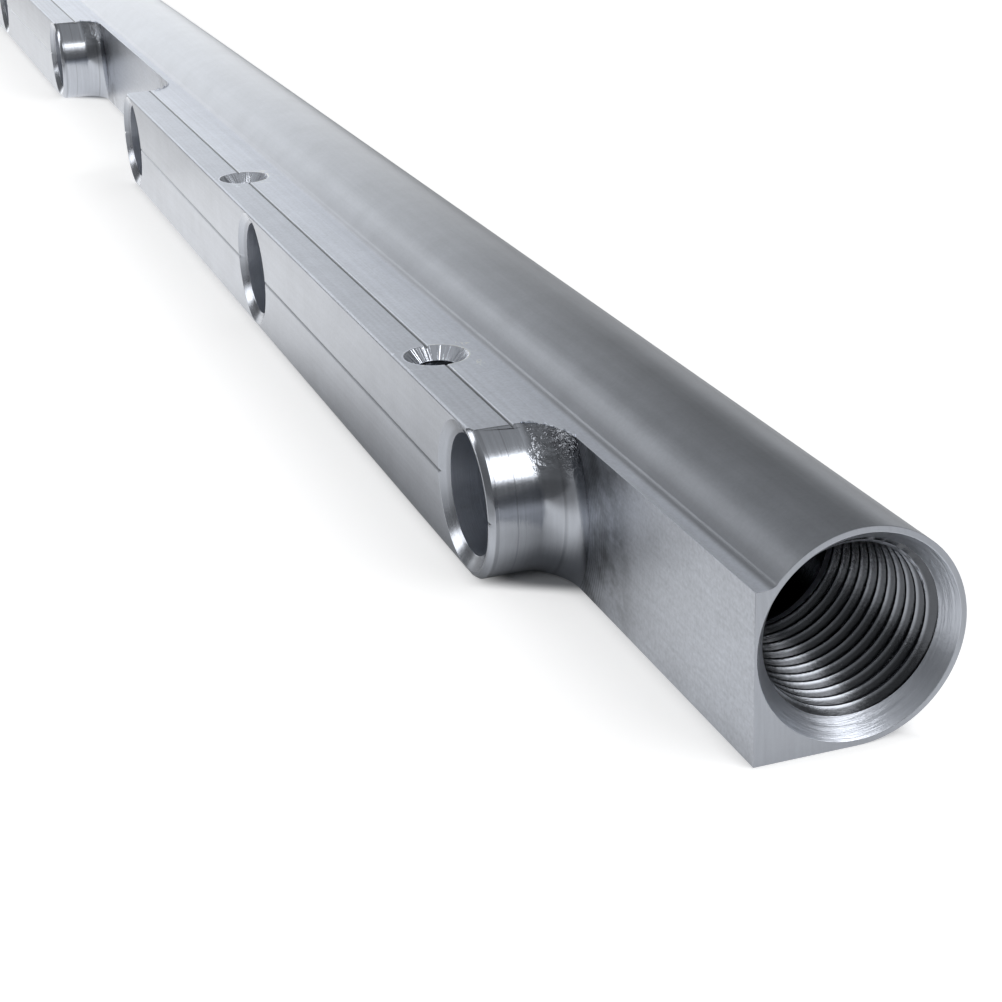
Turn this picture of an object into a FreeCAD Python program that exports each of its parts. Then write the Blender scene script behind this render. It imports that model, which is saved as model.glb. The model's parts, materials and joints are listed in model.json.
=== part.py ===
import FreeCAD, Part
import Sketcher
import math
import os
import re
from collections import namedtuple
from FreeCAD import Vector

# Fuel rail of a large inline engine: one length of aluminium extrusion, milled and bored.
# The rail lies along X on its flat underside. The injector side faces -Y and Z is up.
# The origin is the middle of the underside of the box that bounds the rail.

# Driving dimensions, in millimetres and degrees
DIMENSIONS = {
    "bore_count": 6,
    "bore_pitch": 102.0,
    "end_margin": 53.5,
    "section_width": 31.75,
    "round_diameter": 22.225,
    "wing_height": 17.78,
    "shoulder_fillet": 0.8,
    "corner_radius": 0.4,
    "guide_setback": 4.9,
    "guide_width": 0.5,
    "guide_depth": 0.25,
    "milling_depth": 9.85,
    "boss_diameter": 19.05,
    "boss_bevel": 0.6,
    "root_fillet": 3.97,
    "injector_diameter": 14.0,
    "injector_depth": 10.5,
    "lead_in_diameter": 17.3,
    "lead_in_depth": 0.95,
    "feed_diameter": 8.0,
    "fuel_bore_diameter": 17.4625,
    "port_thread_diameter": 19.05,
    "port_thread_length": 22.0,
    "port_cone_diameter": 21.0,
    "port_cone_angle": 70.0,
    "bracket_hole_offset": 23.2,
    "bracket_hole_diameter": 6.0,
    "bracket_hole_depth": 14.0,
    "bracket_point_angle": 118.0,
    "bracket_cone_diameter": 7.9,
    "bracket_cone_angle": 90.0,
}

# A cut starts this far outside the metal, so that it never ends in a face
OVERRUN = 1.0

# How a feature changes the volume of the metal
ADDS, REMOVES = 1, -1
volumes = [0.0]

# The numbers that a sketch gives its own origin and the two ends of an edge
ORIGIN = (-1, 1)
FIRST_END, LAST_END = 1, 2

document = FreeCAD.newDocument("fuel_rail")
sheet = document.addObject("Spreadsheet::Sheet", "Sizes")
for row, (alias, value) in enumerate(DIMENSIONS.items(), start=1):
    sheet.set(f"A{row}", alias)
    sheet.set(f"B{row}", str(value))
    sheet.setAlias(f"B{row}", alias)
document.recompute()


def expression(formula):
    """A formula in the names of the driving dimensions, as the document reads it."""
    return re.sub(r"[a-z_]+", lambda found: cell_name(found.group()), formula)


def cell_name(word):
    return f"Sizes.{word}" if word in DIMENSIONS else word


def amount(formula):
    """The number that a formula comes to."""
    return float(sheet.evalExpression(expression(formula)))


# Places that several features share, as formulas in the driving dimensions
LENGTH = "(2 * end_margin + (bore_count - 1) * bore_pitch)"
FRONT = "(-section_width / 2)"
MILLED_FACE = f"({FRONT} + milling_depth)"
ROUND_RADIUS = "(round_diameter / 2)"
ROUND_Y = f"(section_width / 2 - {ROUND_RADIUS})"
INJECTOR_Z = "(wing_height / 2)"
GUIDE_Y = f"({FRONT} + guide_setback)"
OUTER_BORE_X = "((bore_count - 1) / 2 * bore_pitch)"
BOSS_RADIUS = "(boss_diameter / 2)"
ROOT_RADIUS = f"({BOSS_RADIUS} + root_fillet)"

# The corners of an outline. A Curve reaches its corner along an arc about a centre,
# and a turn of -1 means that the arc runs clockwise.
Corner = namedtuple("Corner", "name across up")
Curve = namedtuple("Curve", "name across up radius centre_across centre_up turn")
Edge = namedtuple("Edge", "number start end")

body = document.addObject("PartDesign::Body", "rail_body")
body.Label = "rail_body"


def origin_feature(role):
    """One of the body's own planes or axes."""
    return next(item for item in body.Origin.OriginFeatures if item.Role == role)


def new_sketch(name, role, offset=("0", "0", "0")):
    """An empty sketch on one of the body's planes, moved by formulas along its own axes."""
    sketch = body.newObject("Sketcher::SketchObject", name)
    sketch.AttachmentSupport = [(origin_feature(role), "")]
    sketch.MapMode = "FlatFace"
    for axis, formula in zip("xyz", offset):
        sketch.setExpression(f"AttachmentOffset.Base.{axis}", expression(formula))
    return sketch


def dimension(sketch, name, formula, *constraint):
    """Add a named dimension whose value follows a formula."""
    index = sketch.addConstraint(Sketcher.Constraint(*constraint, amount(formula)))
    sketch.renameConstraint(index, name)
    sketch.setExpression(f"Constraints.{name}", expression(formula))


def add_edge(sketch, start, corner):
    """Draw the edge that reaches a corner, and tell which of its ends is there."""
    end = Vector(amount(corner.across), amount(corner.up), 0)
    if isinstance(corner, Corner):
        line = sketch.addGeometry(Part.LineSegment(start, end))
        return Edge(line, FIRST_END, LAST_END)
    centre = Vector(amount(corner.centre_across), amount(corner.centre_up), 0)
    first, last = (start - centre, end - centre)[::corner.turn]
    angles = [math.atan2(arm.y, arm.x) for arm in (first, last)]
    circle = Part.Circle(centre, Vector(0, 0, 1), first.Length)
    arc = sketch.addGeometry(Part.ArcOfCircle(circle, *angles))
    dimension(sketch, f"{corner.name}_radius", corner.radius, "Radius", arc)
    return Edge(arc, *(FIRST_END, LAST_END)[::corner.turn])


def draw_outline(sketch, corners):
    """Draw a closed outline through its corners and dimension each from the sketch's origin."""
    places = [Vector(amount(corner.across), amount(corner.up), 0) for corner in corners]
    edges = [add_edge(sketch, start, corner) for start, corner in zip(places[-1:] + places, corners)]
    for corner, edge, following in zip(corners, edges, edges[1:] + edges[:1]):
        reached = (edge.number, edge.end)
        joint = (*reached, following.number, following.start)
        sketch.addConstraint(Sketcher.Constraint("Coincident", *joint))
        dimension(sketch, f"{corner.name}_x", corner.across, "DistanceX", *ORIGIN, *reached)
        dimension(sketch, f"{corner.name}_y", corner.up, "DistanceY", *ORIGIN, *reached)


def finish_feature(feature, change):
    """Recompute, and stop if the feature failed or didn't change the metal as it should."""
    before = volumes[-1]
    document.recompute()
    if "Invalid" in feature.State or "Error" in feature.State or not feature.Shape.isValid():
        raise RuntimeError(f"{feature.Name} failed: {feature.State}")
    volumes.append(feature.Shape.Volume)
    if (volumes[-1] - before) * change <= 0:
        raise RuntimeError(f"{feature.Name} left {volumes[-1]:.1f} of {before:.1f} cubic mm")
    print(f"{feature.Name}: {volumes[-1]:.1f} cubic mm")
    return feature


def turned_cut(name, sketch, axis, angle=360):
    """Cut away the outline of a sketch, turned about one of the sketch's own axes."""
    groove = body.newObject("PartDesign::Groove", name)
    groove.Profile = sketch
    groove.ReferenceAxis = (sketch, [axis])
    groove.Angle = angle
    groove.Midplane = True
    return finish_feature(groove, REMOVES)


def through_cut(name, sketch):
    """Cut away the outline of a sketch through everything on both sides of it."""
    pocket = body.newObject("PartDesign::Pocket", name)
    pocket.Profile = sketch
    pocket.Type = "ThroughAll"
    pocket.Midplane = True
    return finish_feature(pocket, REMOVES)


# The extrusion: a round body and a rectangular wing that shares its flat underside.
# A guide line runs along the middle of the wing's front, and one along its top.
def section_outline():
    fillet_y = (f"({ROUND_Y} - sqrt(({ROUND_RADIUS} + shoulder_fillet) ^ 2"
                f" - (wing_height + shoulder_fillet - {ROUND_RADIUS}) ^ 2))")
    fillet_z = "(wing_height + shoulder_fillet)"
    share = f"({ROUND_RADIUS} / ({ROUND_RADIUS} + shoulder_fillet))"
    touch_y = f"({ROUND_Y} + {share} * ({fillet_y} - {ROUND_Y}))"
    touch_z = f"({ROUND_RADIUS} + {share} * ({fillet_z} - {ROUND_RADIUS}))"
    inner_y = f"({FRONT} + corner_radius)"
    return [
        Corner("underside_end", ROUND_Y, "0"),
        Curve("round", touch_y, touch_z, ROUND_RADIUS, ROUND_Y, ROUND_RADIUS, 1),
        Curve("shoulder", fillet_y, "wing_height", "shoulder_fillet", fillet_y, fillet_z, -1),
        Corner("top_guide_back", f"{GUIDE_Y} + guide_width / 2", "wing_height"),
        Corner("top_guide_root", GUIDE_Y, "wing_height - guide_depth"),
        Corner("top_guide_fore", f"{GUIDE_Y} - guide_width / 2", "wing_height"),
        Corner("top_end", inner_y, "wing_height"),
        Curve("top_edge", FRONT, "wing_height - corner_radius", "corner_radius",
              inner_y, "wing_height - corner_radius", 1),
        Corner("front_guide_above", FRONT, f"{INJECTOR_Z} + guide_width / 2"),
        Corner("front_guide_root", f"{FRONT} + guide_depth", INJECTOR_Z),
        Corner("front_guide_below", FRONT, f"{INJECTOR_Z} - guide_width / 2"),
        Corner("front_end", FRONT, "corner_radius"),
        Curve("bottom_edge", inner_y, "0", "corner_radius", inner_y, "corner_radius", 1),
    ]


section = new_sketch("extruded_section", "YZ_Plane")
draw_outline(section, section_outline())
extrusion = body.newObject("PartDesign::Pad", "extrusion")
extrusion.Profile = section
extrusion.Midplane = True
extrusion.setExpression("Length", expression(LENGTH))
finish_feature(extrusion, ADDS)


# Where the wing is milled off beside an injector bore, half of the bore's wall is left as a
# round boss, with a bevelled rim and a wide fillet at its root. The cutter goes round it far
# enough to clear the whole height of the wing.
def boss_cut():
    reach = f"({ROOT_RADIUS} + {INJECTOR_Z})"
    outside = f"({FRONT} - {OVERRUN})"
    return [
        Corner("rim", f"{BOSS_RADIUS} - boss_bevel - {OVERRUN}", outside),
        Corner("outside", reach, outside),
        Corner("floor", reach, MILLED_FACE),
        Corner("floor_end", ROOT_RADIUS, MILLED_FACE),
        Curve("root", BOSS_RADIUS, f"{MILLED_FACE} - root_fillet", "root_fillet",
              ROOT_RADIUS, f"{MILLED_FACE} - root_fillet", 1),
        Corner("bevel", BOSS_RADIUS, f"{FRONT} + boss_bevel"),
    ]


boss_places = {"end_boss": OUTER_BORE_X, "middle_boss": "(-bore_pitch / 2)"}
boss_cuts = []
for boss_name, boss_x in boss_places.items():
    profile = new_sketch(f"{boss_name}_profile", "XY_Plane", (boss_x, "0", INJECTOR_Z))
    draw_outline(profile, boss_cut())
    boss_cuts.append(turned_cut(f"{boss_name}_cut", profile, "V_Axis", 180))


def milled_strip(start, end):
    """Plan of a stretch along which the wing is milled off the round body."""
    outside = f"({FRONT} - {OVERRUN})"
    return [
        Corner("fore_start", start, outside),
        Corner("fore_end", end, outside),
        Corner("back_end", end, MILLED_FACE),
        Corner("back_start", start, MILLED_FACE),
    ]


end_strip = new_sketch("end_strip", "XY_Plane")
draw_outline(end_strip, milled_strip(f"{OUTER_BORE_X} + {ROOT_RADIUS}", f"{LENGTH} / 2 + {OVERRUN}"))
end_milling = through_cut("end_milling", end_strip)

far_half = body.newObject("PartDesign::Mirrored", "far_half")
far_half.Originals = boss_cuts + [end_milling]
far_half.MirrorPlane = (origin_feature("YZ_Plane"), [""])
body.Tip = far_half
finish_feature(far_half, REMOVES)

middle_strip = new_sketch("middle_strip", "XY_Plane")
notch_end = f"(bore_pitch / 2 - {ROOT_RADIUS})"
draw_outline(middle_strip, milled_strip(f"-{notch_end}", notch_end))
through_cut("middle_milling", middle_strip)


# One fuel bore runs from end to end. Each end is a straight-thread port: a cone for the seal,
# and a wall at the thread's outside diameter, which the thread itself then lines.
def fuel_bore():
    thread_radius = "(port_thread_diameter / 2)"
    cone_radius = "(port_cone_diameter / 2)"
    flare = "tan(port_cone_angle / 2)"
    cone_depth = f"({cone_radius} - {thread_radius}) / {flare}"
    shoulder_depth = f"(port_thread_length + {thread_radius} - fuel_bore_diameter / 2)"
    end = f"({LENGTH} / 2)"
    half = [
        Corner("mouth", f"{end} + {OVERRUN}", f"{cone_radius} + {OVERRUN} * {flare}"),
        Corner("cone", f"{end} - {cone_depth}", thread_radius),
        Corner("thread", f"{end} - port_thread_length", thread_radius),
        Corner("shoulder", f"{end} - {shoulder_depth}", "fuel_bore_diameter / 2"),
    ]
    other_half = [Corner(f"far_{place.name}", f"-({place.across})", place.up) for place in half]
    axis_start = Corner("axis_start", f"-({end} + {OVERRUN})", "0")
    axis_end = Corner("axis_end", f"{end} + {OVERRUN}", "0")
    return [axis_start, axis_end] + half + other_half[::-1]


bore_profile = new_sketch("fuel_bore_profile", "XY_Plane", ("0", ROUND_Y, ROUND_RADIUS))
draw_outline(bore_profile, fuel_bore())
turned_cut("fuel_bore", bore_profile, "H_Axis")


# The injector bores: a shallow lead-in for the seal, the straight wall that the seal runs in,
# and a narrower feed hole into the fuel bore.
def injector_bore():
    slope = "((lead_in_diameter - injector_diameter) / 2 / lead_in_depth)"
    outside = f"({FRONT} - {OVERRUN})"
    return [
        Corner("axis_fore", "0", outside),
        Corner("mouth", f"lead_in_diameter / 2 + {OVERRUN} * {slope}", outside),
        Corner("wall_fore", "injector_diameter / 2", f"{FRONT} + lead_in_depth"),
        Corner("wall_back", "injector_diameter / 2", f"{FRONT} + injector_depth"),
        Corner("feed_fore", "feed_diameter / 2", f"{FRONT} + injector_depth"),
        Corner("feed_back", "feed_diameter / 2", ROUND_Y),
        Corner("axis_back", "0", ROUND_Y),
    ]


bore_sketch = new_sketch("injector_profile", "XY_Plane", (OUTER_BORE_X, "0", INJECTOR_Z))
draw_outline(bore_sketch, injector_bore())
first_bore = turned_cut("injector_bore", bore_sketch, "V_Axis")

injector_bores = body.newObject("PartDesign::LinearPattern", "injector_bores")
injector_bores.Originals = [first_bore]
injector_bores.Direction = (origin_feature("X_Axis"), [""])
injector_bores.Reversed = True
injector_bores.setExpression("Length", expression("(bore_count - 1) * bore_pitch"))
injector_bores.setExpression("Occurrences", expression("bore_count"))
body.Tip = injector_bores
finish_feature(injector_bores, REMOVES)


# Tapped holes for the brackets, drilled down through the top guide line and countersunk.
# Two stand inboard of the first two bores, and two in the same places from the far end.
def bracket_hole():
    cone_radius = "(bracket_cone_diameter / 2)"
    hole_radius = "(bracket_hole_diameter / 2)"
    flare = "tan(bracket_cone_angle / 2)"
    bottom = "(wing_height - bracket_hole_depth)"
    return [
        Corner("axis_top", "0", f"wing_height + {OVERRUN}"),
        Corner("point", "0", f"{bottom} - {hole_radius} / tan(bracket_point_angle / 2)"),
        Corner("wall_bottom", hole_radius, bottom),
        Corner("wall_top", hole_radius, f"wing_height - ({cone_radius} - {hole_radius}) / {flare}"),
        Corner("mouth", f"{cone_radius} + {OVERRUN} * {flare}", f"wing_height + {OVERRUN}"),
    ]


hole_x = f"({OUTER_BORE_X} - bracket_hole_offset)"
hole_places = {"end_hole": hole_x, "inner_hole": f"({hole_x} - bore_pitch)"}
hole_cuts = []
for hole_name, place_x in hole_places.items():
    profile = new_sketch(f"{hole_name}_profile", "XZ_Plane", (place_x, "0", f"-{GUIDE_Y}"))
    draw_outline(profile, bracket_hole())
    hole_cuts.append(turned_cut(hole_name, profile, "V_Axis"))

far_holes = body.newObject("PartDesign::Mirrored", "far_holes")
far_holes.Originals = hole_cuts
far_holes.MirrorPlane = (origin_feature("YZ_Plane"), [""])
body.Tip = far_holes
finish_feature(far_holes, REMOVES)

for item in document.Objects:
    if "Invalid" in item.State or "Error" in item.State:
        raise RuntimeError(f"{item.Name} is {item.State}")
if body.Shape.isNull() or not body.Shape.isValid() or len(body.Shape.Solids) != 1:
    raise RuntimeError(f"{body.Label} is not one valid solid")

os.makedirs("parts", exist_ok=True)
body.Shape.exportStep(f"parts/{body.Label}.step")
box = body.Shape.optimalBoundingBox()
print(f"{body.Label}: {box.XLength:.3f} x {box.YLength:.3f} x {box.ZLength:.3f} mm")
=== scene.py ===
# %% [markdown]
# # A bare fuel rail
# A fuel rail is the tube that feeds an engine's injectors. This one is a single length of
# aluminium extrusion: a round body with a flat wing beside it. The wing is milled off at both
# ends and in the middle, a row of bores takes the injectors, and each end is a threaded port.
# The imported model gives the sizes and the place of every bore, so it is loaded first.

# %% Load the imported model
import json
import math
import random

import bmesh
import bpy
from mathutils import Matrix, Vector


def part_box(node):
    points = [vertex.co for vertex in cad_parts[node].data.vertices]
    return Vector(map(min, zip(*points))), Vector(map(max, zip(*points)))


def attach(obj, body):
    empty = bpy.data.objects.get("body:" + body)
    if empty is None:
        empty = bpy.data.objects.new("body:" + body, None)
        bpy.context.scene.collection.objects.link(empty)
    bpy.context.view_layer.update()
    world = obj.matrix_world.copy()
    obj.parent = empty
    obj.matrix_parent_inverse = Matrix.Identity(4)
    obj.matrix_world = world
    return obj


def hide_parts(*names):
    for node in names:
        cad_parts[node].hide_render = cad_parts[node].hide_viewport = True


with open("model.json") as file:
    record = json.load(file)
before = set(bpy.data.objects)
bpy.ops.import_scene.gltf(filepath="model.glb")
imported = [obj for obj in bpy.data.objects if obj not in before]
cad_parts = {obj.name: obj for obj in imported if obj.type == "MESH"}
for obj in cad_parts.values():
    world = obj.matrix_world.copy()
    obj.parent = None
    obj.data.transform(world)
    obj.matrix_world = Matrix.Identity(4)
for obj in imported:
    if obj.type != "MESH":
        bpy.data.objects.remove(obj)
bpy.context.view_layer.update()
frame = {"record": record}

# %% [markdown]
# Blender works in metres and the drawing of the rail is in millimetres, so every size below is
# written in millimetres times MM. The lengths that the model can tell are measured on it, and
# the mounts of the record say where the bores and the bracket holes are.

# %% Measure the rail
MM = 0.001
low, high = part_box("rail_body")
HALF_LENGTH = high.x
FRONT = low.y
BACK = high.y
ROUND_RADIUS = high.z / 2
ROUND_Y = BACK - ROUND_RADIUS


def mounts_named(start):
    """The mounts whose names start like this, in the order of the record."""
    return [mount for mount in frame["record"]["mounts"] if mount["name"].startswith(start)]


injector_bores = mounts_named("injector_bore")
bracket_holes = mounts_named("bracket_hole")
bore_x = [mount["pos_m"][0] for mount in injector_bores]
hole_x = [mount["pos_m"][0] for mount in bracket_holes]
bore_pitch = bore_x[0] - bore_x[1]
injector_z = injector_bores[0]["pos_m"][2]
WING_HEIGHT = 2 * injector_z
print("bores at", [round(x / MM, 1) for x in bore_x], "mm, axis", injector_z / MM, "mm up")

# %% [markdown]
# The other sizes are those of the drawing. They are repeated here by name, because this script
# reads nothing but the imported model. The last ones are finer than the drawing: the pitch
# and the crests of the threads, and the lip where a bracket hole's countersink ends.

# %% Name the sizes of the drawing
MILLED_FACE = FRONT + 9.85 * MM
BOSS_RADIUS = 9.525 * MM
BOSS_BEVEL = 0.6 * MM
ROOT_FILLET = 3.97 * MM
SHOULDER_FILLET = 0.8 * MM
CORNER_RADIUS = 0.4 * MM
GUIDE_SETBACK = 4.9 * MM
GUIDE_WIDTH = 0.5 * MM
GUIDE_DEPTH = 0.25 * MM
INJECTOR_RADIUS = 7.0 * MM
INJECTOR_DEPTH = 10.5 * MM
LEAD_IN_RADIUS = 8.65 * MM
LEAD_IN_DEPTH = 0.95 * MM
FEED_RADIUS = 4.0 * MM
FUEL_BORE_RADIUS = 8.73125 * MM
THREAD_RADIUS = 9.525 * MM
THREAD_LENGTH = 22.0 * MM
PORT_CONE_RADIUS = 10.5 * MM
PORT_CONE_SLOPE = math.tan(math.radians(35))
HOLE_RADIUS = 3.0 * MM
HOLE_DEPTH = 14.0 * MM
HOLE_CONE_RADIUS = 3.95 * MM
HOLE_POINT_ANGLE = math.radians(59)
PORT_PITCH = 1.8 * MM
PORT_CREST = 8.45 * MM
HOLE_PITCH = 1.0 * MM
HOLE_CREST = 2.46 * MM
HOLE_LIP = 0.25 * MM
GUIDE_Y = FRONT + GUIDE_SETBACK
OVERRUN = 1.0 * MM
print("wing", WING_HEIGHT / MM, "mm high, guide line at y", round(GUIDE_Y / MM, 3), "mm")

# %% [markdown]
# ## Nodes as arithmetic
# A procedural finish is a sum: grain plus scratches, times a mask. Written as Python
# arithmetic it reads like one. This class holds an output socket, and each operator adds the
# Math node that does the same job. Every other node comes from its one method, node.

# %% Wrap a socket
class Wire:
    """An output socket of a node, with arithmetic that adds Math nodes."""

    def __init__(self, socket):
        self.socket = socket

    @staticmethod
    def node(tree, kind, settings=None, inputs=None, output=0):
        """Add a node, with its settings first and then a value or a wire for each socket."""
        made = tree.nodes.new(kind)
        for name, value in (settings or {}).items():
            setattr(made, name, value)
        for name, value in (inputs or {}).items():
            if isinstance(value, Wire):
                tree.links.new(value.socket, made.inputs[name])
            else:
                made.inputs[name].default_value = value
        return Wire(made.outputs[output])

    def math(self, operation, *values):
        """A Math node on this wire's own tree."""
        settings, inputs = {"operation": operation}, dict(enumerate(values))
        return Wire.node(self.socket.id_data, "ShaderNodeMath", settings, inputs)

    def __add__(self, other):
        return self.math("ADD", self, other)

    def __radd__(self, other):
        return self.math("ADD", other, self)

    def __sub__(self, other):
        return self.math("SUBTRACT", self, other)

    def __rsub__(self, other):
        return self.math("SUBTRACT", other, self)

    def __mul__(self, other):
        return self.math("MULTIPLY", self, other)

    def __rmul__(self, other):
        return self.math("MULTIPLY", other, self)

    def __truediv__(self, other):
        return self.math("DIVIDE", self, other)

    def __pow__(self, other):
        return self.math("POWER", self, other)

    def __abs__(self):
        return self.math("ABSOLUTE", self)


# %% [markdown]
# Every pattern below is placed by Object coordinates, which are the metres of the drawing. So
# these helpers give a point's three coordinates, noise with its own scale along each axis,
# and a soft step from 0 to 1 between two values. A noise's scale is in waves per metre: 2400
# is a grain of about 0.4 mm, and 160 gives blotches of 6 mm. A sky has no place, so there the
# Generated coordinates are asked for, which are the direction of a point.

# %% Helpers for patterns
def coordinates(tree, kind="Object"):
    """The place of the shaded point, whole and as three wires. A sky needs Generated."""
    place = Wire.node(tree, "ShaderNodeTexCoord", output=kind)
    split = Wire.node(tree, "ShaderNodeSeparateXYZ", inputs={"Vector": place})
    return place, *(Wire(split.socket.node.outputs[axis]) for axis in "XYZ")


def combine(x, y, z):
    """Three numbers or wires as one vector."""
    tree = next(part for part in (x, y, z) if isinstance(part, Wire)).socket.id_data
    return Wire.node(tree, "ShaderNodeCombineXYZ", inputs={"X": x, "Y": y, "Z": z})


def noise(vector, scale=1.0, detail=2.0, roughness=0.5):
    """Smooth random values between 0 and 1."""
    inputs = {"Vector": vector, "Scale": scale, "Detail": detail, "Roughness": roughness}
    return Wire.node(vector.socket.id_data, "ShaderNodeTexNoise", inputs=inputs)


def stretched(place, scale):
    """A place with another scale along each axis, so that noise on it has a direction."""
    inputs = {"Vector": place, "Scale": scale}
    return Wire.node(place.socket.id_data, "ShaderNodeMapping", inputs=inputs)


def soft_step(value, start, end):
    """0 below start, 1 above end, and a smooth rise between them."""
    settings = {"interpolation_type": "SMOOTHSTEP"}
    inputs = {"Value": value, "From Min": start, "From Max": end}
    return Wire.node(value.socket.id_data, "ShaderNodeMapRange", settings, inputs)


# %% [markdown]
# Some marks go round an axis. These helpers give the lesser or the greater of two values, the
# distance from an axis, and the way from the nearest bore or bracket hole: both stand in rows
# with one pitch, so one pattern serves them all.

# %% Helpers for distances
def lesser(one, other):
    """The smaller of a wire and another value."""
    return one.math("MINIMUM", one, other)


def greater(one, other):
    """The larger of a wire and another value."""
    return one.math("MAXIMUM", one, other)


def distance(across, up):
    """The length of a way that goes this far along two axes."""
    return (across * across + up * up) ** 0.5


def from_nearest(along, first):
    """How far a place is from the nearest one in a row that has the pitch of the bores."""
    cell = (along - first) / bore_pitch + 0.5
    return (cell - cell.math("FLOOR", cell) - 0.5) * bore_pitch


def from_hole(x, y):
    """The way from the nearest bracket hole's axis, along X and along Y, and its length."""
    across, beside = from_nearest(abs(x), hole_x[0]), y - GUIDE_Y
    return across, beside, distance(across, beside)


# %% [markdown]
# ## One metal, many finishes
# The rail is all one alloy, but each tool left its own surface: long die lines on the
# extruded skin, swirls where the wing was milled off, fine rings on what was turned or bored,
# and torn flanks in the threads. So there is one recipe for the metal. A finish gives it
# three patterns: the height of its marks, what they add to the roughness, and a shade for the
# colour. The recipe also paints shade into the hollows of the marks and light onto their
# crests, by a share that each finish gives.

# %% The recipe for the metal
METAL_COLOUR = (0.415, 0.435, 0.475)


def metal(name, marks, roughness, depth, relief_shading):
    """Aluminium whose marks give their height from 0 to 1, a roughness to add and a shade."""
    material = bpy.data.materials.new(name)
    material.use_nodes = True
    tree = material.node_tree
    shader = tree.nodes["Principled BSDF"]
    place, x, y, z = coordinates(tree)
    height, dulled, shade = marks(place, x, y, z)
    # Painted shade in the hollows of the marks and painted light on their crests.
    shade = shade * (1 - relief_shading + relief_shading * 2 * lesser(height, 1.0))
    colour = Wire.node(
        tree, "ShaderNodeVectorMath", {"operation": "SCALE"}, {0: METAL_COLOUR, "Scale": shade})
    bump = Wire.node(
        tree, "ShaderNodeBump", inputs={"Strength": 1.0, "Distance": depth, "Height": height})
    tree.links.new(colour.socket, shader.inputs["Base Color"])
    tree.links.new((dulled + roughness).socket, shader.inputs["Roughness"])
    tree.links.new(bump.socket, shader.inputs["Normal"])
    shader.inputs["Metallic"].default_value = 1.0
    print("finish", name, "of", len(tree.nodes), "nodes")
    return material


# %% [markdown]
# The countersinks were cut into the finished skin, and handling left scratches round them.
# A noise passes through one half along thin wandering lines, which look like such scratches.
# Each hole's rim is worn to a pale ring.

# %% Scuffs round the bracket holes
def scuffs(place, x, y):
    """Pale wandering scratches round the bracket holes, and a worn pale ring at their rims."""
    _, _, radius = from_hole(x, y)
    wander = noise(place, 190.0, 3.0, 0.6) - 0.5
    thin = 1 - soft_step(abs(wander), 0.0, 0.014)
    patches = soft_step(noise(place, 260.0, 2.0), 0.42, 0.55)
    near = 1 - soft_step(radius, HOLE_CONE_RADIUS + 1.0 * MM, HOLE_CONE_RADIUS + 5.0 * MM)
    rim = 1 - soft_step(radius, HOLE_CONE_RADIUS + 0.10 * MM, HOLE_CONE_RADIUS + 0.35 * MM)
    return thin * patches * near + 0.7 * rim


# %% [markdown]
# The die leaves straight lines along the whole length. Noise that is squeezed a thousandfold
# across the rail and hardly at all along it gives such lines, and a finer even noise adds the
# grain. The top of the wing is duller than the round body, and painted paler for the light it
# catches, more so behind the guide line. The guide lines are painted dark for the shade in
# them, the top one most.

# %% The extruded skin
DIE_LINE_SCALE = (9.0, 1400.0, 1400.0)
WING_END = (-4.9 * MM, -4.2 * MM)
TOP_GUIDE_ONLY = (12.0 * MM, 14.0 * MM)


def die_lines(place, x, y, z):
    """Lines along X, a duller wing painted light on top, and painted shade in the guide lines."""
    lines = noise(stretched(place, DIE_LINE_SCALE), 1.0, 5.0, 0.7)
    grain = noise(place, 2400.0, 3.0, 0.6)
    handled = noise(place, 160.0, 4.0, 0.6)
    wing = 1 - soft_step(y, *WING_END)
    on_top = wing * soft_step(z, WING_HEIGHT - 0.3 * MM, WING_HEIGHT - 0.1 * MM)
    # Painted light: the top of the wing is paler, more so behind the guide line.
    top_light = 0.7 + 0.3 * soft_step(y, GUIDE_Y - 0.1 * MM, GUIDE_Y + 0.1 * MM)
    marks = (0.55 * lines + 0.45 * grain) * (0.6 + 0.4 * wing)
    from_guide = lesser(abs(y - GUIDE_Y), abs(z - injector_z))
    # Painted shade in the guide lines, the top one darkest.
    guide_shade = wing * (1 - soft_step(from_guide, 0.08 * MM, 0.26 * MM))
    guide_shade = guide_shade * (0.5 + 0.3 * soft_step(z, *TOP_GUIDE_ONLY))
    scuffed = scuffs(place, x, y) * on_top
    shade = (0.85 + 0.30 * handled + 0.95 * on_top * top_light + 0.3 * scuffed) * (1 - guide_shade)
    return marks + 0.2 * scuffed, 0.14 * on_top + 0.04 * lines, shade


skin = metal("extruded_skin", die_lines, roughness=0.27, depth=0.020 * MM, relief_shading=0.34)

# %% [markdown]
# The ends were faced with a cutter that crossed them from side to side, so their marks run up
# and down in slow arcs.

# %% The faced ends
ARC_SCALE = (1.0, 2600.0, 120.0)
BOW = 4.0


def facing(place, x, y, z):
    """Arcs that run up and down the end."""
    arcs = noise(stretched(combine(x, y + BOW * z * z, z), ARC_SCALE), 1.0, 4.0, 0.65)
    grain = noise(place, 2600.0, 3.0, 0.6)
    return 0.7 * arcs + 0.3 * grain, 0.10 * grain, 0.88


faced = metal("faced_end", facing, roughness=0.36, depth=0.014 * MM, relief_shading=0.16)

# %% [markdown]
# Where the wing was milled off, the cutter went round the boss and left rings about the
# bore's axis. Beyond its reach it ran straight along the rail. The rings are a wave of the
# distance from the nearest bore's axis, and a soft step hands over to the straight marks.
# Beside the bosses the face is darker in patches.

# %% The milled faces
SWIRL_RADIUS = 19.0 * MM
RING_PITCH = 0.5 * MM
STRAIGHT_SCALE = (150.0, 150.0, 2200.0)
DARK_PATCH_REACH = (18.0 * MM, 28.0 * MM)


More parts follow.
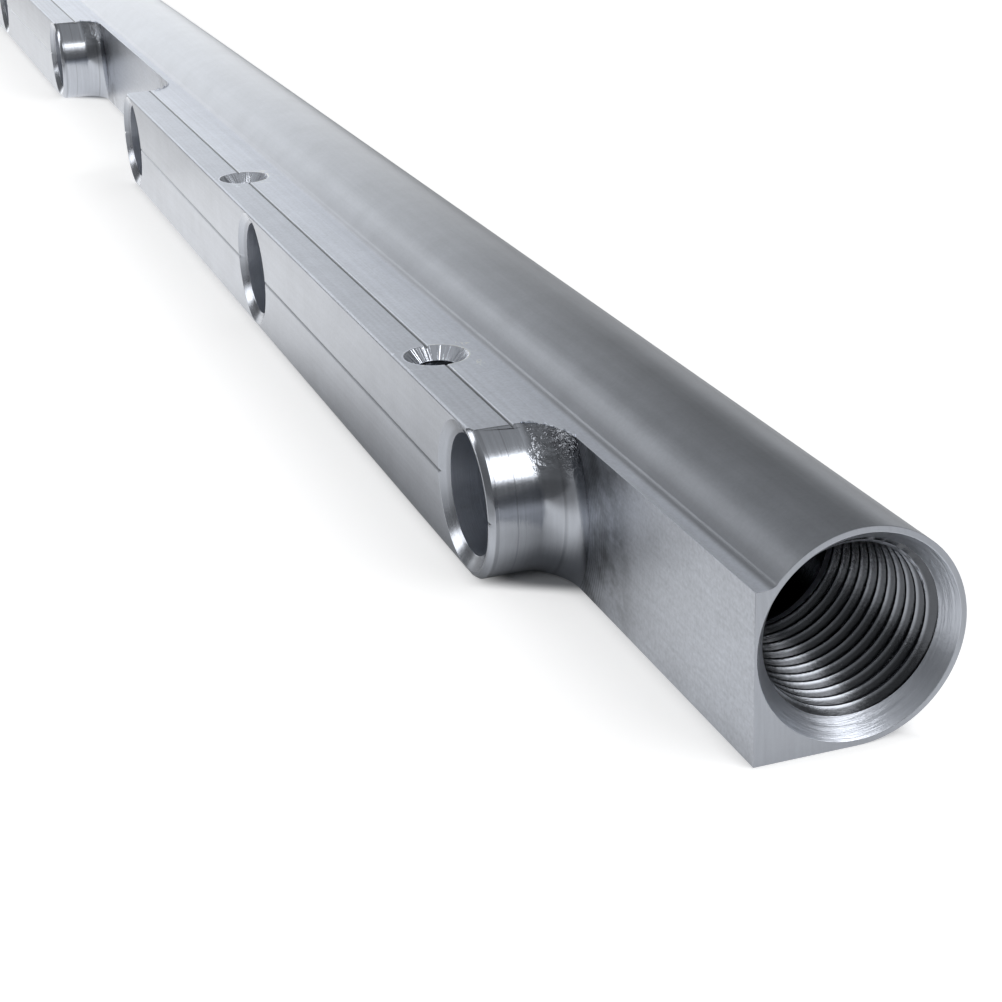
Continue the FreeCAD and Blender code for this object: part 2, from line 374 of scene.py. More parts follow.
def swirls(place, x, y, z):
    """Rings about the nearest bore, straight marks beyond them, and darker patches."""
    radius = distance(from_nearest(x, bore_x[0]), z - injector_z)
    turns = radius / RING_PITCH + 1.2 * noise(place, 220.0, 3.0)
    rings = turns.math("SINE", turns * (2 * math.pi)) * 0.5 + 0.5
    straight = noise(stretched(place, STRAIGHT_SCALE), 1.0, 4.0, 0.6)
    beyond = soft_step(radius, SWIRL_RADIUS - 1.5 * MM, SWIRL_RADIUS)
    grain = noise(place, 2200.0, 4.0, 0.65)
    patches = noise(place, 120.0, 3.0, 0.6)
    dark_patches = soft_step(noise(place, 170.0, 4.0, 0.65), 0.40, 0.62)
    near_boss = 1 - soft_step(radius, *DARK_PATCH_REACH)
    marks = (rings * (1 - beyond) + straight * beyond) * 0.35 + 0.65 * grain
    return marks, 0.2 * patches - 0.1, 0.9 + 0.35 * patches - 0.55 * near_boss * dark_patches


milled = metal("milled_face", swirls, roughness=0.32, depth=0.024 * MM, relief_shading=0.48)

# %% [markdown]
# Bores, cones and the round bosses were cut by a tool that turned about their axis, so their
# marks are rings at a fixed depth along it. Noise that varies fast along the axis and slowly
# round it draws such rings. The ports turn about X, the injector bores about Y and the drilled
# holes about Z. The seal cones and the bore walls are painted paler than the metal, for the
# light they show. The burrs have the same rings, but they are rough, and painted pale for the
# glints that they catch.

# %% The turned, bored and drilled walls
RING_SCALE = 2600.0
ROUND_SCALE = 130.0


def rings_along(axis, shade=1.0):
    """Tool rings about one axis: fast noise along it and slow noise across it."""
    scale = [RING_SCALE if name == axis else ROUND_SCALE for name in "xyz"]

    def marks(place, x, y, z):
        rings = noise(stretched(place, scale), 1.0, 5.0, 0.7)
        grain = noise(place, 2600.0, 3.0, 0.6)
        return 0.8 * rings + 0.2 * grain, 0.16 * rings - 0.08, shade
    return marks


# Painted light: the seal cone and the bore walls are paler than the other turned walls.
cone_finish = metal(
    "turned_cone", rings_along("x", shade=1.3), roughness=0.36, depth=0.065 * MM, relief_shading=0.14)
bored = metal(
    "bored_wall", rings_along("y", shade=1.35), roughness=0.42, depth=0.045 * MM, relief_shading=0.08)
drilled = metal("drilled_hole", rings_along("z"), roughness=0.22, depth=0.015 * MM, relief_shading=0.12)
# Painted highlight: the burrs are paler still, for their glints.
torn_edge = metal(
    "torn_edge", rings_along("y", shade=1.9), roughness=0.50, depth=0.030 * MM, relief_shading=0.10)

# %% [markdown]
# A boss shows more than rings. Where the cutter changed its depth it left steps with fine dark
# nicks, which here depend on Y alone. As it ran out of the metal high up in the fillet it rang,
# and left chatter there, and the fillet is darker just below it. The chatter is so rough that its
# height is many times that of the rings.

# %% The turned bosses
IN_FILLET = (-10.6 * MM, -9.4 * MM)
CHATTERED = (12.5 * MM, 17.0 * MM)
DARK_BAND_HEIGHTS = (9.0 * MM, 11.5 * MM)


def boss_rings(place, x, y, z):
    """Rings about Y, and the chatter and a darker band high up in the fillet."""
    marks, dulled, shade = rings_along("y")(place, x, y, z)
    steps = noise(combine(0.0, y, 0.0), 900.0, 3.0)
    nicks = soft_step(steps, 0.56, 0.62)
    in_fillet = soft_step(y, *IN_FILLET)
    chatter = noise(place, 1300.0, 3.0, 0.6) * (soft_step(z, *CHATTERED) * in_fillet)
    dark_band = soft_step(z, *DARK_BAND_HEIGHTS) * in_fillet
    height = marks * 0.7 + 0.3 * steps - 0.3 * nicks + 25.0 * chatter
    return height, dulled, shade - 0.5 * chatter - 0.30 * dark_band - 0.08 * nicks


turned_finish = metal("turned_boss", boss_rings, roughness=0.18, depth=0.014 * MM, relief_shading=0.26)

# %% [markdown]
# A countersink chatters as it turns, so its marks run straight down the cone. The way to the
# hole's axis, divided by its length, is a point on a circle that is the same all the way down.
# Noise on that circle makes such streaks, and a little of X makes each hole's its own.

# %% The countersinks
def countersink_marks(place, x, y, z):
    """Chatter that runs straight down the cone."""
    across, beside, radius = from_hole(x, y)
    chatter = noise(combine(across / radius, beside / radius, x * 9.0), 2.4, 3.0, 0.55)
    grain = noise(place, 2400.0, 3.0, 0.6)
    return chatter + 0.015 * grain, 0.06 * chatter, 1.3 + 0.4 * chatter


countersunk = metal(
    "countersink", countersink_marks, roughness=0.16, depth=0.9 * MM, relief_shading=0.10)

# %% [markdown]
# A tap tears the metal a little as it cuts, so the threads have scratches and small pits that
# break up every reflection. They are painted dark for the shade deep in the bores, and only the
# crests, which the drill left smooth, are painted paler for the light they catch. A port's
# crests are found by their distance from its axis.

# %% The tapped threads
SCRATCH_SCALE = (2500.0, 500.0, 500.0)


def torn(place, x, y, z):
    """Scratches round the axis and pits, painted dark but for paler crests."""
    scratches = noise(stretched(place, SCRATCH_SCALE), 1.0, 4.0, 0.7)
    pits = noise(place, 2600.0, 4.0, 0.7)
    radius = distance(y - ROUND_Y, z - ROUND_RADIUS)
    crest = 1 - soft_step(radius, PORT_CREST + 0.10 * MM, PORT_CREST + 0.35 * MM)
    # Painted shade over the whole thread, less on the crests for the light they catch.
    return 0.6 * scratches + 0.4 * pits, 0.3 * pits - 0.15, 0.22 + 0.46 * crest


tapped = metal("tapped_thread", torn, roughness=0.22, depth=0.036 * MM, relief_shading=0.30)

# %% [markdown]
# ## Turn meshes into pieces
# Each shape starts as a bmesh. When it is done it becomes an object, its modifiers are worked
# into its mesh, and the result is a plain mesh that sits at the origin. Faces should point
# outwards. Blender's own guess can fail on a thin curled lip, but then the volume that the
# faces enclose comes out negative, and all of them are turned round.

# %% Helpers for meshes
def piece_from(name, shape, material):
    """A new object from a bmesh, with its faces turned outwards."""
    bmesh.ops.recalc_face_normals(shape, faces=shape.faces)
    if shape.calc_volume(signed=True) < 0:
        bmesh.ops.reverse_faces(shape, faces=shape.faces)
    mesh = bpy.data.meshes.new(name)
    shape.to_mesh(mesh)
    shape.free()
    mesh.materials.append(material)
    piece = bpy.data.objects.new(name, mesh)
    bpy.context.collection.objects.link(piece)
    return piece


def settle(piece):
    """Work the modifiers of a piece into its mesh."""
    graph = bpy.context.evaluated_depsgraph_get()
    mesh = bpy.data.meshes.new_from_object(
        piece.evaluated_get(graph), preserve_all_data_layers=True, depsgraph=graph)
    piece.modifiers.clear()
    piece.data = mesh


def cut_away(piece, others):
    """Cut other solids away from a piece and use them up. Each cut keeps its own finish."""
    for other in others:
        boolean = piece.modifiers.new(other.name, "BOOLEAN")
        boolean.object = other
        boolean.operation = "DIFFERENCE"
        boolean.solver = "EXACT"
        boolean.material_mode = "TRANSFER"
    settle(piece)
    for other in others:
        bpy.data.objects.remove(other)


def smooth(piece, sharp_angle):
    """Shade a piece smooth, except over edges that turn by more than an angle."""
    piece.data.shade_smooth()
    piece.data.set_sharp_from_angle(angle=sharp_angle)


# %% [markdown]
# Most cuts in this rail are round, so most cutters are turned: half of their outline is a
# chain of edges that ends on the axis, and a full spin closes it. The walls of a bore are not
# finished as its cone is, so a turned solid may give its straight walls another material.

# %% Helpers for turned solids
FULL_TURN = 2 * math.pi
ROUND_STEPS = 128
WELD = 0.0001 * MM
STRAIGHT = 0.05
X_AXIS, Y_AXIS, Z_AXIS = Vector((1, 0, 0)), Vector((0, 1, 0)), Vector((0, 0, 1))


def lay_chain(shape, points):
    """Vertices at some points, joined in a chain of edges."""
    verts = [shape.verts.new(point) for point in points]
    edges = [shape.edges.new(pair) for pair in zip(verts, verts[1:])]
    return verts + edges


def turned(name, material, centre, axis, arm, profile, steps=ROUND_STEPS, walls=None):
    """A closed solid turned about an axis. The profile lists (along, radius) and ends on it."""
    shape = bmesh.new()
    points = [centre + axis * along + arm * radius for along, radius in profile]
    chain = lay_chain(shape, points)
    bmesh.ops.spin(
        shape, geom=chain, cent=centre, axis=axis, angle=FULL_TURN, steps=steps, use_merge=True)
    bmesh.ops.remove_doubles(shape, verts=shape.verts, dist=WELD)
    shape.normal_update()
    for side in shape.faces:
        straight = abs(side.normal.dot(axis)) < STRAIGHT
        side.material_index = int(walls is not None and straight)
    piece = piece_from(name, shape, material)
    if walls:
        piece.data.materials.append(walls)
    return piece


def block(name, material, corner, opposite):
    """A box between two corners."""
    shape = bmesh.new()
    bmesh.ops.create_cube(shape, size=1.0)
    middle = (Vector(corner) + Vector(opposite)) / 2
    size = Vector(opposite) - Vector(corner)
    bmesh.ops.scale(shape, vec=size, verts=shape.verts)
    bmesh.ops.translate(shape, vec=middle, verts=shape.verts)
    return piece_from(name, shape, material)


# %% [markdown]
# ## The extrusion
# The section is one closed outline. One vertex is spun about the centre of the round body to
# draw its arc, the wing's corners follow, and a vertex bevel rounds the corners and fills the
# shoulder. The filled face is then extruded along the whole rail.

# %% Draw the section
CORNER_STEPS = 4
shape = bmesh.new()
end = -HALF_LENGTH
meeting_rise = WING_HEIGHT - ROUND_RADIUS
sweep = math.pi + math.acos(meeting_rise / ROUND_RADIUS)
arc_start = shape.verts.new((end, ROUND_Y, 0))
arc = bmesh.ops.spin(
    shape, geom=[arc_start], cent=(end, ROUND_Y, ROUND_RADIUS), axis=(1, 0, 0),
    angle=sweep, steps=int(ROUND_STEPS * sweep / FULL_TURN))
shoulder = arc["geom_last"][0]
guide_half = GUIDE_WIDTH / 2
wing_points = [
    (GUIDE_Y + guide_half, WING_HEIGHT), (GUIDE_Y, WING_HEIGHT - GUIDE_DEPTH),
    (GUIDE_Y - guide_half, WING_HEIGHT), (FRONT, WING_HEIGHT),
    (FRONT, injector_z + guide_half), (FRONT + GUIDE_DEPTH, injector_z),
    (FRONT, injector_z - guide_half), (FRONT, 0)]
wing = [shape.verts.new((end, y, z)) for y, z in wing_points]
loop = [shoulder] + wing + [arc_start]
for pair in zip(loop, loop[1:]):
    shape.edges.new(pair)
for corners, radius in (([shoulder], SHOULDER_FILLET), ([wing[3], wing[7]], CORNER_RADIUS)):
    bmesh.ops.bevel(
        shape, geom=corners, offset=radius, offset_type="OFFSET", affect="VERTICES",
        segments=CORNER_STEPS, profile=0.5, material=-1)
print("section corners", len(shape.verts))

# %% [markdown]
# Extruding the face gives the far end as new vertices, which move along the whole length. The
# two ends are the only faces that look along X, and they get the faced finish.

# %% Extrude the section
face = bmesh.ops.contextual_create(shape, geom=shape.edges)["faces"]
grown = bmesh.ops.extrude_face_region(shape, geom=face)["geom"]
far_end = [item for item in grown if isinstance(item, bmesh.types.BMVert)]
bmesh.ops.translate(shape, vec=(2 * HALF_LENGTH, 0, 0), verts=far_end)
shape.normal_update()
for side in shape.faces:
    side.material_index = int(abs(side.normal.x) > 0.5)
rail = piece_from("machined_rail", shape, skin)
rail.data.materials.append(faced)
print("extruded box", [round(side / MM, 3) for side in rail.dimensions], "mm")

# %% [markdown]
# ## Mill off the wing
# Beside an injector bore the mill goes round half of the bore's wall and leaves a boss, with
# a bevelled rim and a wide fillet at its root. So the cutter is a plain block that has such a
# boss taken out of it, and what it leaves standing is the boss.

# %% Cut the ends and the middle of the wing
ROOT_RADIUS = BOSS_RADIUS + ROOT_FILLET
FILLET_STEPS = 10


def on_fillet(angle):
    """A point of the root fillet: its place along Y and its distance from the bore's axis."""
    along = MILLED_FACE - ROOT_FILLET + ROOT_FILLET * math.cos(angle)
    return along, ROOT_RADIUS - ROOT_FILLET * math.sin(angle)


def boss(name, x):
    """The round boss of an injector bore, from below the milled face to its bevelled rim."""
    fillet = [on_fillet(math.pi / 2 * step / FILLET_STEPS) for step in range(FILLET_STEPS + 1)]
    rim = BOSS_RADIUS - BOSS_BEVEL
    profile = [(MILLED_FACE + OVERRUN, 0), (MILLED_FACE + OVERRUN, ROOT_RADIUS)] + fillet + [
        (FRONT + BOSS_BEVEL, BOSS_RADIUS), (FRONT, rim),
        (FRONT - 2 * OVERRUN, rim), (FRONT - 2 * OVERRUN, 0)]
    centre = Vector((x, 0, injector_z))
    return turned(name, turned_finish, centre, Y_AXIS, Z_AXIS, profile)


def milling(name, start, stop, bosses):
    """The metal that the mill takes off between two places along the rail."""
    corner = (start, FRONT - OVERRUN, -OVERRUN)
    cutter = block(name, milled, corner, (stop, MILLED_FACE, WING_HEIGHT + OVERRUN))
    cut_away(cutter, [boss(f"boss_{x:.3f}", x) for x in bosses])
    return cutter


past_end = HALF_LENGTH + OVERRUN
cutters = [
    milling("end_cut", bore_x[0], past_end, [bore_x[0]]),
    milling("far_cut", -past_end, bore_x[5], [bore_x[5]]),
    milling("middle_cut", bore_x[3], bore_x[2], [bore_x[2], bore_x[3]])]
cut_away(rail, cutters)
print("faces after milling", len(rail.data.polygons))

# %% [markdown]
# ## Bore it through
# Every hole is a turned solid taken away. The fuel bore runs from port to port. At each port
# its wall is the thread's outside diameter, and it opens into a seal cone at the face. The
# second half of its outline is the first one mirrored.

# %% Turn the fuel bore
thread_depth = (PORT_CONE_RADIUS - THREAD_RADIUS) / PORT_CONE_SLOPE
shoulder_depth = THREAD_LENGTH + THREAD_RADIUS - FUEL_BORE_RADIUS
half_bore = [
    (past_end, 0), (past_end, PORT_CONE_RADIUS + OVERRUN * PORT_CONE_SLOPE),
    (HALF_LENGTH - thread_depth, THREAD_RADIUS), (HALF_LENGTH - THREAD_LENGTH, THREAD_RADIUS),
    (HALF_LENGTH - shoulder_depth, FUEL_BORE_RADIUS)]
mirrored = [(-along, radius) for along, radius in half_bore[::-1]]
round_centre = Vector((0, ROUND_Y, ROUND_RADIUS))
fuel_bore = turned(
    "fuel_bore", cone_finish, round_centre, X_AXIS, Z_AXIS, half_bore + mirrored, walls=tapped)
print("thread wall from", round(thread_depth / MM, 2), "to", THREAD_LENGTH / MM, "mm deep")

# %% [markdown]
# An injector is pushed in past a seal ring, so its bore has a shallow lead-in that squeezes
# the ring gently. A narrow feed hole at the bottom leads on into the fuel bore.

# %% Turn the injector bores
slope = (LEAD_IN_RADIUS - INJECTOR_RADIUS) / LEAD_IN_DEPTH
injector_profile = [
    (FRONT - OVERRUN, 0), (FRONT - OVERRUN, LEAD_IN_RADIUS + OVERRUN * slope),
    (FRONT + LEAD_IN_DEPTH, INJECTOR_RADIUS), (FRONT + INJECTOR_DEPTH, INJECTOR_RADIUS),
    (FRONT + INJECTOR_DEPTH, FEED_RADIUS), (ROUND_Y, FEED_RADIUS), (ROUND_Y, 0)]
injector_cuts = [
    turned(
        f"injector_{x:.3f}", turned_finish, Vector((x, 0, injector_z)), Y_AXIS, Z_AXIS,
        injector_profile, walls=bored)
    for x in bore_x]
print("injector bores", len(injector_cuts))

# %% [markdown]
# A bracket hole is blind, so it ends in the point that the drill left. Its countersink goes
# down to the crests of the thread, and a short lip there leads into the thread itself.

# %% Turn the bracket holes and cut all the bores
HOLE_STEPS = 64
hole_lip = WING_HEIGHT - (HOLE_CONE_RADIUS - HOLE_CREST) - HOLE_LIP
thread_top = hole_lip - (HOLE_RADIUS - HOLE_CREST)
point_depth = HOLE_DEPTH + HOLE_RADIUS / math.tan(HOLE_POINT_ANGLE)
hole_profile = [
    (WING_HEIGHT + OVERRUN, 0), (WING_HEIGHT + OVERRUN, HOLE_CONE_RADIUS + OVERRUN),
    (hole_lip + HOLE_LIP, HOLE_CREST), (hole_lip, HOLE_CREST), (thread_top, HOLE_RADIUS),
    (WING_HEIGHT - HOLE_DEPTH, HOLE_RADIUS), (WING_HEIGHT - point_depth, 0)]
hole_cuts = [
    turned(
        f"hole_{x:.3f}", countersunk, Vector((x, GUIDE_Y, 0)), Z_AXIS, X_AXIS, hole_profile,
        steps=HOLE_STEPS, walls=drilled)
    for x in hole_x]
cut_away(rail, [fuel_bore] + injector_cuts + hole_cuts)
print("faces after boring", len(rail.data.polygons), [m.name for m in rail.data.materials])

# %% [markdown]
# ## Break the edges
# No machined edge is perfectly sharp: a pass with a file or a tumbler leaves a narrow bright
# line. A Bevel modifier does the same on every edge that turns by more than the limit. By
# itself it would make the whole break as narrow as the shortest edge that a cut has left, so
# those are merged first, and its clamp is off.

# %% Merge the shortest edges and bevel the sharp ones
EDGE_BREAK = 0.07 * MM
SHARP_ANGLE = math.radians(26)
SHORT_EDGE = 0.03 * MM
NO_EDGE = 0.003 * MM
shape = bmesh.new()
shape.from_mesh(rail.data)
bmesh.ops.remove_doubles(shape, verts=shape.verts, dist=SHORT_EDGE)
bmesh.ops.dissolve_degenerate(shape, dist=NO_EDGE, edges=shape.edges)
shape.to_mesh(rail.data)
shape.free()
edge_break = rail.modifiers.new("edge_break", "BEVEL")
edge_break.width = EDGE_BREAK
edge_break.segments = 2
edge_break.limit_method = "ANGLE"
edge_break.angle_limit = SHARP_ANGLE
edge_break.material = -1
edge_break.use_clamp_overlap = False
settle(rail)
print("faces after breaking the edges", len(rail.data.polygons))

# %% [markdown]
# The small angles between facets are shaded smooth. That would also bend the light over the
# large flat faces beside each narrow break, so the normals are weighted by area: a large face
# keeps its own direction, and only the break turns.

# %% Shade the rail
smooth(rail, SHARP_ANGLE)
flat_faces = rail.modifiers.new("flat_faces", "WEIGHTED_NORMAL")
flat_faces.mode = "FACE_AREA"
flat_faces.weight = 50
flat_faces.keep_sharp = True
settle(rail)
print("corners of the finished rail", len(rail.data.vertices))
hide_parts("rail_body")
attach(rail, "root")

# %% [markdown]
# ## Cut the port threads
# The drawing bores each port to the outside diameter of its thread. The ridge that a tap
# leaves between its grooves is added here, as one real helix. A screw thread is a profile
# that turns and moves along at once, which is what a spin with a displacement makes. The
# ridge's foot takes seven eighths of the pitch and is sunk a little into the wall, and its
# corners are rounded as a worn tap's are.

# %% A helper for thread ridges
TURN_STEPS = 96
HALF_FOOT = 7 / 16
CORNER_SHARE = 11
FLANK_ANGLE = math.radians(30)
SUNK = 0.12 * MM
ROUNDED_EDGE = math.radians(40)
RIDGE_SHARP_ANGLE = math.radians(25)


def thread_ridge(name, centre, axis, arm, start, turns, pitch, outer, inner):
    """A helical ridge that stands on a bore's wall, from a start along the axis inwards."""
    shape = bmesh.new()
    base = pitch * HALF_FOOT
    crest = base - (outer - inner) * math.tan(FLANK_ANGLE)
    points = [
        (-base, outer + SUNK), (-base, outer), (-crest, inner), (crest, inner),
        (base, outer), (base, outer + SUNK)]
    verts = [shape.verts.new(centre + axis * (start + along) + arm * radius)
             for along, radius in points]
    outline = [shape.edges.new(pair) for pair in zip(verts, verts[1:] + verts[:1])]
    first = bmesh.ops.contextual_create(shape, geom=outline)["faces"]
    steps = int(turns * TURN_STEPS)
    bmesh.ops.spin(
        shape, geom=verts + outline + first, cent=centre, axis=axis,
        dvec=-axis * pitch / TURN_STEPS, angle=-turns * FULL_TURN, steps=steps)
    ridge = piece_from(name, shape, tapped)
    rounding = ridge.modifiers.new("rounding", "BEVEL")
    rounding.width = pitch / CORNER_SHARE
    rounding.segments = 2
    rounding.limit_method = "ANGLE"
    rounding.angle_limit = ROUNDED_EDGE
    rounding.material = -1
    settle(ridge)
    return ridge


# %% [markdown]
# The seal cone was cut last, so it takes the tops off the first ridges. The cone that does so
# is a hair wider than the rail's own, so that the two never lie in the same surface. The helix
# starts just outside the face and ends where the threaded wall does.

# %% Make the port threads
HAIR = 0.01 * MM
LEAD = 0.93 * MM


def mouth_cut(sign):
    """The seal cone as a solid, a hair wider than the cone, that reaches out past the end."""
    reach = 3 * OVERRUN
    wider = PORT_CONE_RADIUS + HAIR
    tip = HALF_LENGTH - wider / PORT_CONE_SLOPE
    mouth = (sign * (HALF_LENGTH + reach), wider + reach * PORT_CONE_SLOPE)
    profile = [(sign * tip, 0), mouth, (sign * (HALF_LENGTH + reach), 0)]
    return turned("mouth_cut", cone_finish, round_centre, X_AXIS, Z_AXIS, profile)


port_turns = (shoulder_depth + LEAD) / PORT_PITCH
for side, sign in (("right", 1), ("left", -1)):
    ridge = thread_ridge(
        f"port_thread_{side}", round_centre, sign * X_AXIS, Z_AXIS,
        HALF_LENGTH + LEAD, port_turns, PORT_PITCH, THREAD_RADIUS, PORT_CREST)
    cut_away(ridge, [mouth_cut(sign)])
    smooth(ridge, RIDGE_SHARP_ANGLE)
    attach(ridge, "root")
    print(ridge.name, "faces", len(ridge.data.polygons))

# %% [markdown]
# The bracket holes are tapped too, with a 6 mm metric thread. The same ridge serves, on a
# smaller pitch, and it starts under the lip at the countersink's foot.

# %% Make the bracket hole threads
HOLE_TURNS = 11
for number, x in enumerate(hole_x, start=1):
    ridge = thread_ridge(
        f"bracket_thread_{number}", Vector((x, GUIDE_Y, 0)), Z_AXIS, X_AXIS,
        (hole_lip + thread_top) / 2, HOLE_TURNS, HOLE_PITCH, HOLE_RADIUS, HOLE_CREST)
    smooth(ridge, RIDGE_SHARP_ANGLE)
    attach(ridge, "root")
print("bracket threads", len(hole_x), "with faces", len(ridge.data.polygons))

# %% [markdown]
# ## The burr that the mill left
# Where the mill ran out through the top of the wing it pushed a ragged lip of metal over the
# edge of the fillet. It is a chain of points along that edge, pulled up twice into torn
# teeth and given some thickness. The chain lies a little inside the metal, so that the lip
# grows out of it. A seeded random source makes the same teeth every time.

# %% Raise the burrs
BURR_HEIGHT = 0.34 * MM
BURR_THICKNESS = 0.07 * MM
BURR_STEPS = 30
BURR_SWEEP = math.radians(88)
BURR_ROOTED = 0.12 * MM
BURR_SUNK = 0.05 * MM


def burr(name, x, outwards, seed):
    """A torn lip along the top edge of a boss's fillet, on the side where the mill ran."""
    chance = random.Random(seed)
    points = []
    for step in range(BURR_STEPS + 1):
        y, radius = on_fillet(BURR_SWEEP * (1 - step / BURR_STEPS))
        reach = math.sqrt(radius ** 2 - injector_z ** 2) - BURR_ROOTED
        points.append(Vector((x + outwards * reach, y, WING_HEIGHT - BURR_SUNK)))
    shape = bmesh.new()
    chain = lay_chain(shape, points)
    edges = [item for item in chain if isinstance(item, bmesh.types.BMEdge)]
    for pull in (1.0, 0.7):
        grown = bmesh.ops.extrude_edge_only(shape, edges=edges)["geom"]
        edges = [item for item in grown if isinstance(item, bmesh.types.BMEdge)]
        row = [item for item in grown if isinstance(item, bmesh.types.BMVert)]
        for vert in row:
            height = BURR_HEIGHT * pull * chance.uniform(0.1, 1.0) ** 2
            lean = outwards * chance.uniform(0.1, 1.2) * height
            vert.co += Vector((lean, -0.7 * abs(lean) * chance.uniform(0.2, 1.0), height))
    bmesh.ops.solidify(shape, geom=shape.faces, thickness=BURR_THICKNESS)
    lip = piece_from(name, shape, torn_edge)
    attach(lip, "root")
    return lip


for number, (place, side) in enumerate(((0, 1), (2, -1), (3, 1), (5, -1)), start=1):
    lip = burr(f"milling_burr_{number}", bore_x[place], side, seed=number)
print("burr spans", [round(size / MM, 2) for size in lip.dimensions], "mm")

# %% [markdown]
# ## The studio
# The rail lies on a pale floor under one large softbox. Bare metal shows what is round it, so
# the floor and the room matter as much as the lamps. The floor is a plain grey-white sheet
# that keeps a soft shadow.

# %% Lay the floor
FLOOR_SIZE = 40.0
FLOOR_COLOUR = (0.72, 0.72, 0.72, 1)
floor_shape = bmesh.new()
bmesh.ops.create_grid(floor_shape, x_segments=1, y_segments=1, size=FLOOR_SIZE)
floor_finish = bpy.data.materials.new("pale_floor")
floor_finish.use_nodes = True
floor_tree = floor_finish.node_tree
floor_shader = floor_tree.nodes["Principled BSDF"]
floor_shader.inputs["Base Color"].default_value = FLOOR_COLOUR
floor_shader.inputs["Roughness"].default_value = 0.9
floor_shader.inputs["Specular IOR Level"].default_value = 0.0
floor = piece_from("floor", floor_shape, floor_finish)
print("floor", 2 * FLOOR_SIZE, "m across")

# %% [markdown]
# A little light of the floor's own lifts it to white. Only the camera and the metal see it, so
# it lights nothing, and under the rail it fades out, because there the floor is in the shade.
# For that the floor has to know the rail's footprint: away is how far a point lies outside it,
# before the wing, beside the round body or past the ends. The wing's front steps back where
# the wing is milled off, so standing says where it still stands.

# %% Measure the footprint on the floor
WING_STARTS = (bore_x[2] - 1.3 * BOSS_RADIUS, bore_x[2])
WING_STOPS = (bore_x[0] + 0.4 * BOSS_RADIUS, bore_x[0] + 1.4 * BOSS_RADIUS)
OPEN_PORT = (bore_x[0] + BOSS_RADIUS, HALF_LENGTH - 24 * MM)
NEAR_PART = (110 * MM, 220 * MM)
_, x, y, _ = coordinates(floor_tree)
from_middle = abs(x)
standing = soft_step(from_middle, *WING_STARTS) * (1 - soft_step(from_middle, *WING_STOPS))
before = MILLED_FACE + standing * (FRONT - MILLED_FACE) - y
beside = y - (ROUND_Y + ROUND_RADIUS / 2)
away = greater(greater(before, beside), from_middle - HALF_LENGTH)
open_end = soft_step(x, *OPEN_PORT)
towards_back = 1 - soft_step(x, *NEAR_PART)
print("the wing stands from", round(WING_STARTS[1] / MM, 1), "to", round(bore_x[0] / MM, 1), "mm")

# %% [markdown]
# For the camera the lift comes in within a few millimetres. The metal mirrors the strip of
# floor beside it, which is half in the rail's own shade, so there the lift comes in more
# slowly, and it fades again to the sides, which paints a darker floor into the metal there. It
# comes in sooner under the open port, where more light gets under the rail, and sooner and
# brighter behind the nearest boss, which paints the far part of the rail brighter in the metal.

# %% Lift the floor to white
LIFT = 0.62
CAMERA_FADE = (-4 * MM, 2 * MM)
METAL_FADE = (-4 * MM, 14 * MM)
SIDE_FADE = (5 * MM, 60 * MM)
PORT_GAIN, BACK_GAIN = 8 * MM, 12 * MM
path = Wire.node(floor_tree, "ShaderNodeLightPath", output="Is Camera Ray").socket.node
camera_ray, glossy_ray, clear_ray = (
    Wire(path.outputs[f"Is {ray} Ray"]) for ray in ("Camera", "Glossy", "Transmission"))
# Painted shadow: the lift fades out at the rail's footprint.
for_camera = camera_ray * soft_step(away, *CAMERA_FADE)
# Painted shade in what the metal mirrors near the rail, and painted light towards the far part.
lit = soft_step(away + PORT_GAIN * open_end + BACK_GAIN * towards_back, *METAL_FADE)
sideways = greater(before, y - BACK)
for_metal = (glossy_ray + clear_ray) * lit * (1 + 0.5 * towards_back)
# Painted reflection: the floor mirrored farther to the sides is darker.
for_metal = for_metal * (1 - soft_step(sideways, *SIDE_FADE))
lift = Wire.node(
    floor_tree, "ShaderNodeEmission", inputs={"Strength": (for_camera + for_metal) * LIFT})
both = Wire.node(
    floor_tree, "ShaderNodeAddShader", inputs={0: Wire(floor_shader.outputs[0]), 1: lift})
output = floor_tree.nodes["Material Output"]
floor_tree.links.new(both.socket, output.inputs["Surface"])
print("nodes in the floor's finish", len(floor_tree.nodes))

# %% [markdown]
# The room behind the far end is bright, because the backdrop stands there, and the rest of it
# is dim. A rail that points at the backdrop mirrors it where the view glances along the
# metal, which is why the far end looks almost white. A faint glow overhead and a low one
# beside the round body stand for the ceiling and the wall, and keep those sides from black.

# %% Light the room
ROOM_TINT = (0.97, 0.985, 1.0)
world = bpy.data.worlds.new("studio")
bpy.context.scene.world = world
world.use_nodes = True
sky_tree = world.node_tree
sky = sky_tree.nodes["Background"]
_, towards_x, towards_y, upwards = coordinates(sky_tree, "Generated")
behind = soft_step(0 - towards_x, 0.88, 0.99)
overhead = soft_step(upwards, 0.35, 0.95)
beside = soft_step(towards_y, 0.20, 0.60) * (1 - soft_step(upwards, 0.05, 0.35))
glow = 0.20 + 1.95 * behind + 0.25 * overhead + 0.58 * beside
room = Wire.node(
    sky_tree, "ShaderNodeVectorMath", {"operation": "SCALE"}, {0: ROOM_TINT, "Scale": glow})
sky_tree.links.new(room.socket, sky.inputs["Color"])
print("nodes in the room's light", len(sky_tree.nodes))

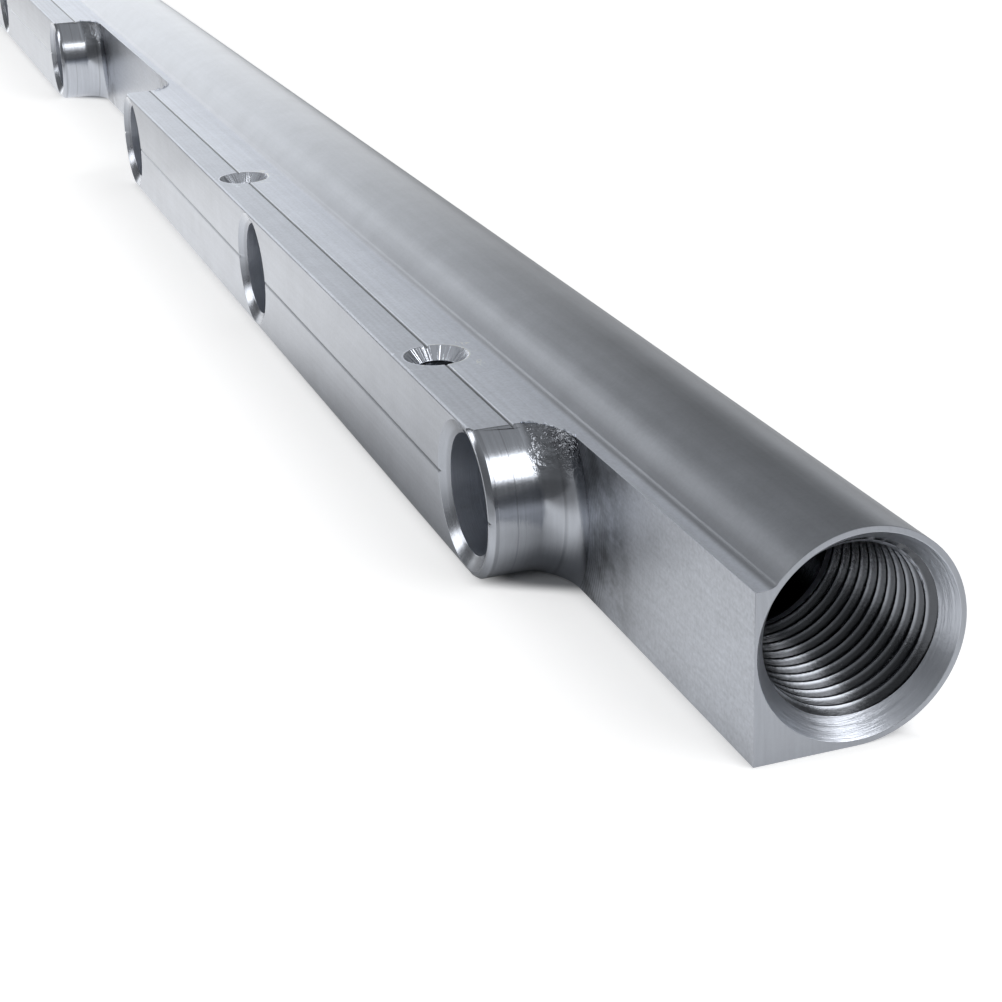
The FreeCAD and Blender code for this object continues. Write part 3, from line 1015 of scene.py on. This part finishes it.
# %% [markdown]
# One large softbox stands to the right behind the camera and gives the boss and the port
# their white highlight. A tall narrow one on the left lights the rims, and a small dim one
# beyond the far end draws the streak along the shoulder. A softbox's power is its radiance
# times pi times its area, so each lamp is given by how bright it looks.

# %% Hang the lamps
NEAR_BOSS = Vector((0.26, 0, 0.01))


def softbox(name, azimuth, elevation, metres, width, height, radiance):
    """A rectangular lamp in a direction from the near boss, turned to face it."""
    light = bpy.data.lights.new(name, "AREA")
    light.shape = "RECTANGLE"
    light.size = width
    light.size_y = height
    light.energy = radiance * math.pi * width * height
    lamp = bpy.data.objects.new(name, light)
    turn, rise = math.radians(azimuth), math.radians(elevation)
    level = math.cos(rise)
    back = Vector((math.cos(turn) * level, math.sin(turn) * level, math.sin(rise)))
    lamp.location = NEAR_BOSS + back * metres
    lamp.rotation_euler = back.to_track_quat("Z", "Y").to_euler()
    bpy.context.collection.objects.link(lamp)
    print(name, "lamp", round(light.energy, 2), "W")


softbox("key", 42, 47, 1.1, 0.85, 0.60, 3.4)
softbox("rim", -126, 20, 1.1, 0.27, 0.62, 3.0)
softbox("streak", -163, 26, 1.6, 0.42, 0.26, 0.75)

# %% [markdown]
# ## The camera
# The photograph was taken from just beyond the near port, above the rail and on its injector
# side. The place, the turn and the lens below put every edge of the drawing on the edge that
# the photograph shows.

# %% Place the camera
CAMERA_PLACE = (0.45943, -0.08093, 0.09581)
CAMERA_TURN = (67.741, 1.994, 70.380)
SENSOR_WIDTH = 36.0
FOCAL_LENGTH = 74.528
lens = bpy.data.cameras.new("camera")
lens.sensor_width = SENSOR_WIDTH
lens.lens = FOCAL_LENGTH
lens.clip_start = 0.01
camera = bpy.data.objects.new("camera", lens)
camera.location = CAMERA_PLACE
camera.rotation_euler = [math.radians(turn) for turn in CAMERA_TURN]
bpy.context.collection.objects.link(camera)
bpy.context.scene.camera = camera
bpy.context.scene.view_settings.view_transform = "Standard"
print("camera at", CAMERA_PLACE, "m with a lens of", FOCAL_LENGTH, "mm")
